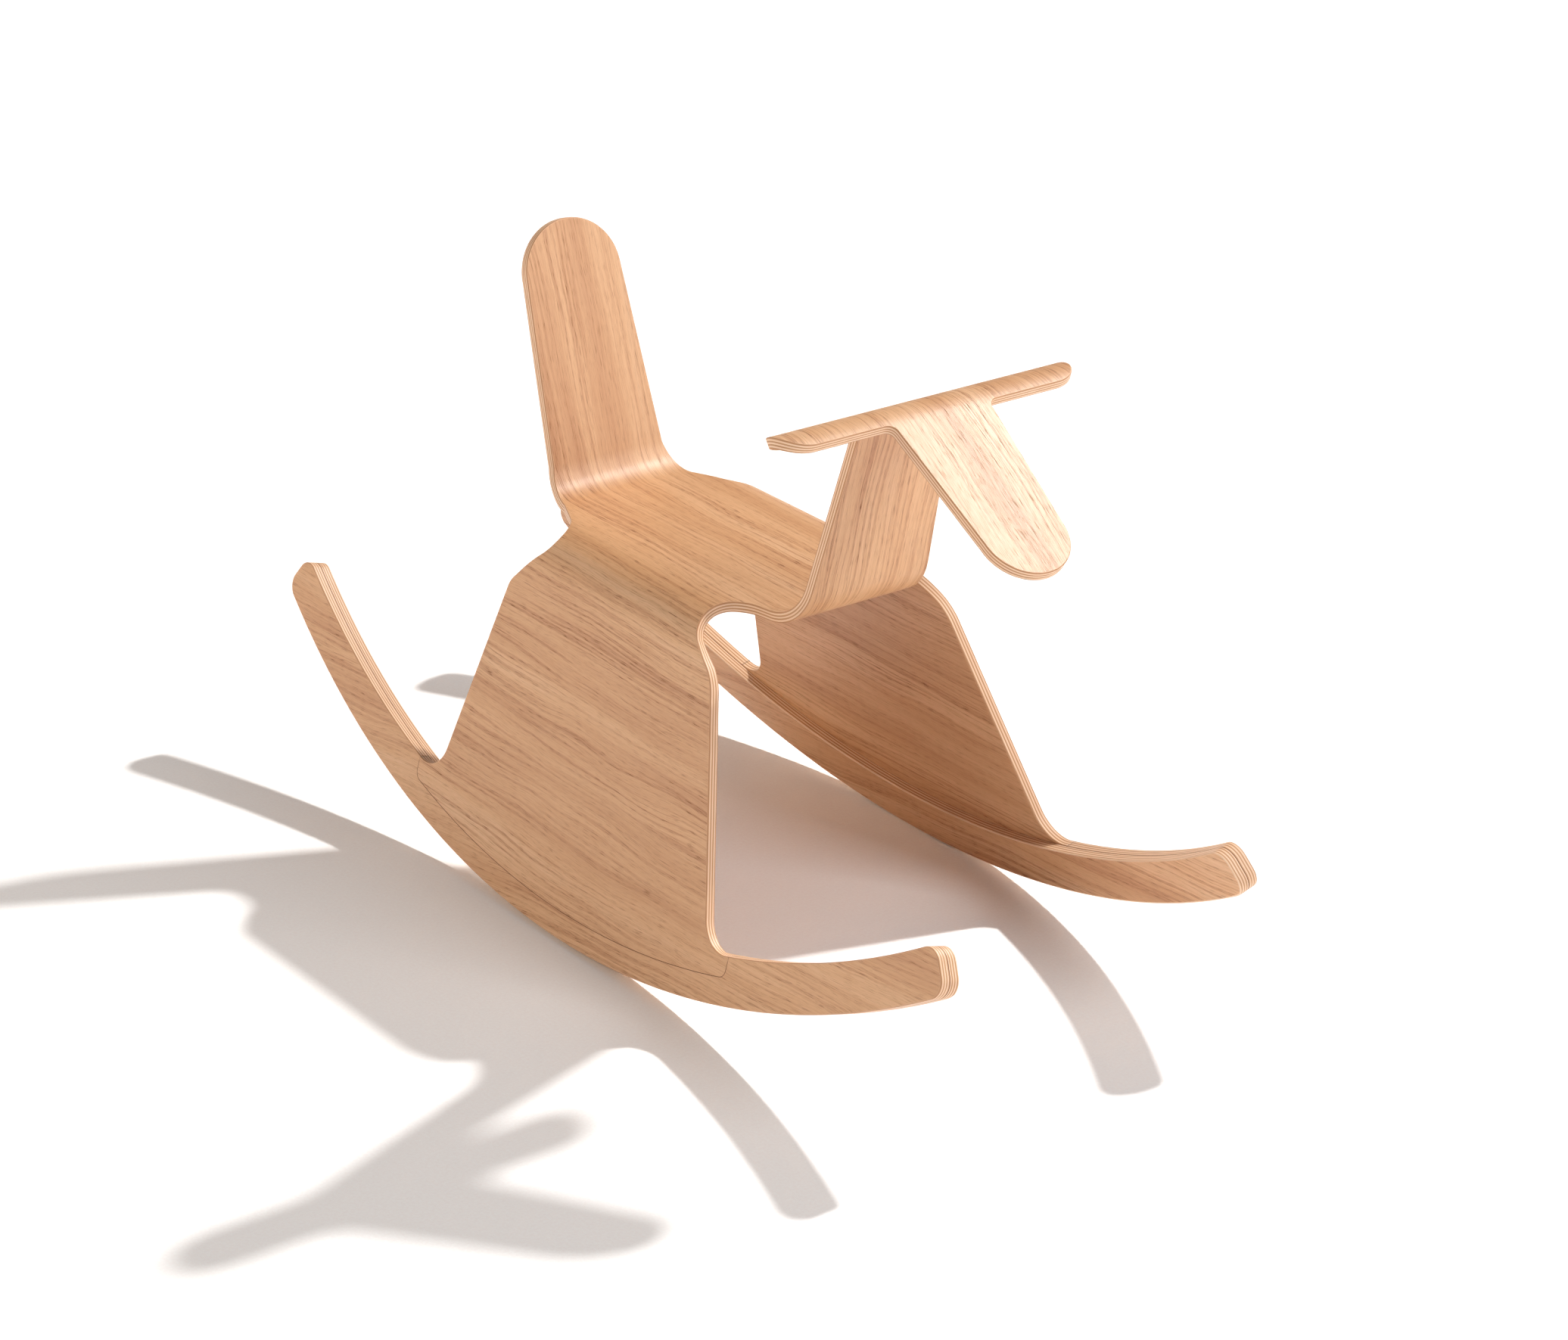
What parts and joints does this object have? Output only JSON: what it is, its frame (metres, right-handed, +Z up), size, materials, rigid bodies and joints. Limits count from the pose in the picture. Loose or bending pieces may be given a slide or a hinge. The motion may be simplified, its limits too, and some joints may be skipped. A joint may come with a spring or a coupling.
{
  "type": "rocking horse",
  "caption": "Toddler's rocking horse in moulded oak-faced plywood: one bent sheet makes backrest, seat, splayed sides, neck, handlebars and head, on curved laminated runners.",
  "frame": {"origin": "on the floor, midway between the two runners and midway between their tips", "axes": "+X forward, the way the head points; +Y to the rider's left; +Z up"},
  "size_m": [0.9347, 0.3874, 0.5164],
  "materials": {
    "oak_face": "clear satin lacquer on oak veneer",
    "birch_core": "sanded ply edges, clear lacquer"
  },
  "bodies": {
    "root": {"shell_upper_veneer": "oak_face", "shell_core": "birch_core", "shell_lower_veneer": "oak_face", "runner_right_outer_face_veneer": "oak_face", "runner_right_outer_core": "birch_core", "runner_right_outer_glue_veneer": "oak_face", "runner_right_inner_glue_veneer": "oak_face", "runner_right_inner_core": "birch_core", "runner_right_inner_face_veneer": "oak_face", "runner_left_outer_face_veneer": "oak_face", "runner_left_outer_core": "birch_core", "runner_left_outer_glue_veneer": "oak_face", "runner_left_inner_glue_veneer": "oak_face", "runner_left_inner_core": "birch_core", "runner_left_inner_face_veneer": "oak_face"}
  },
  "joints": []
}
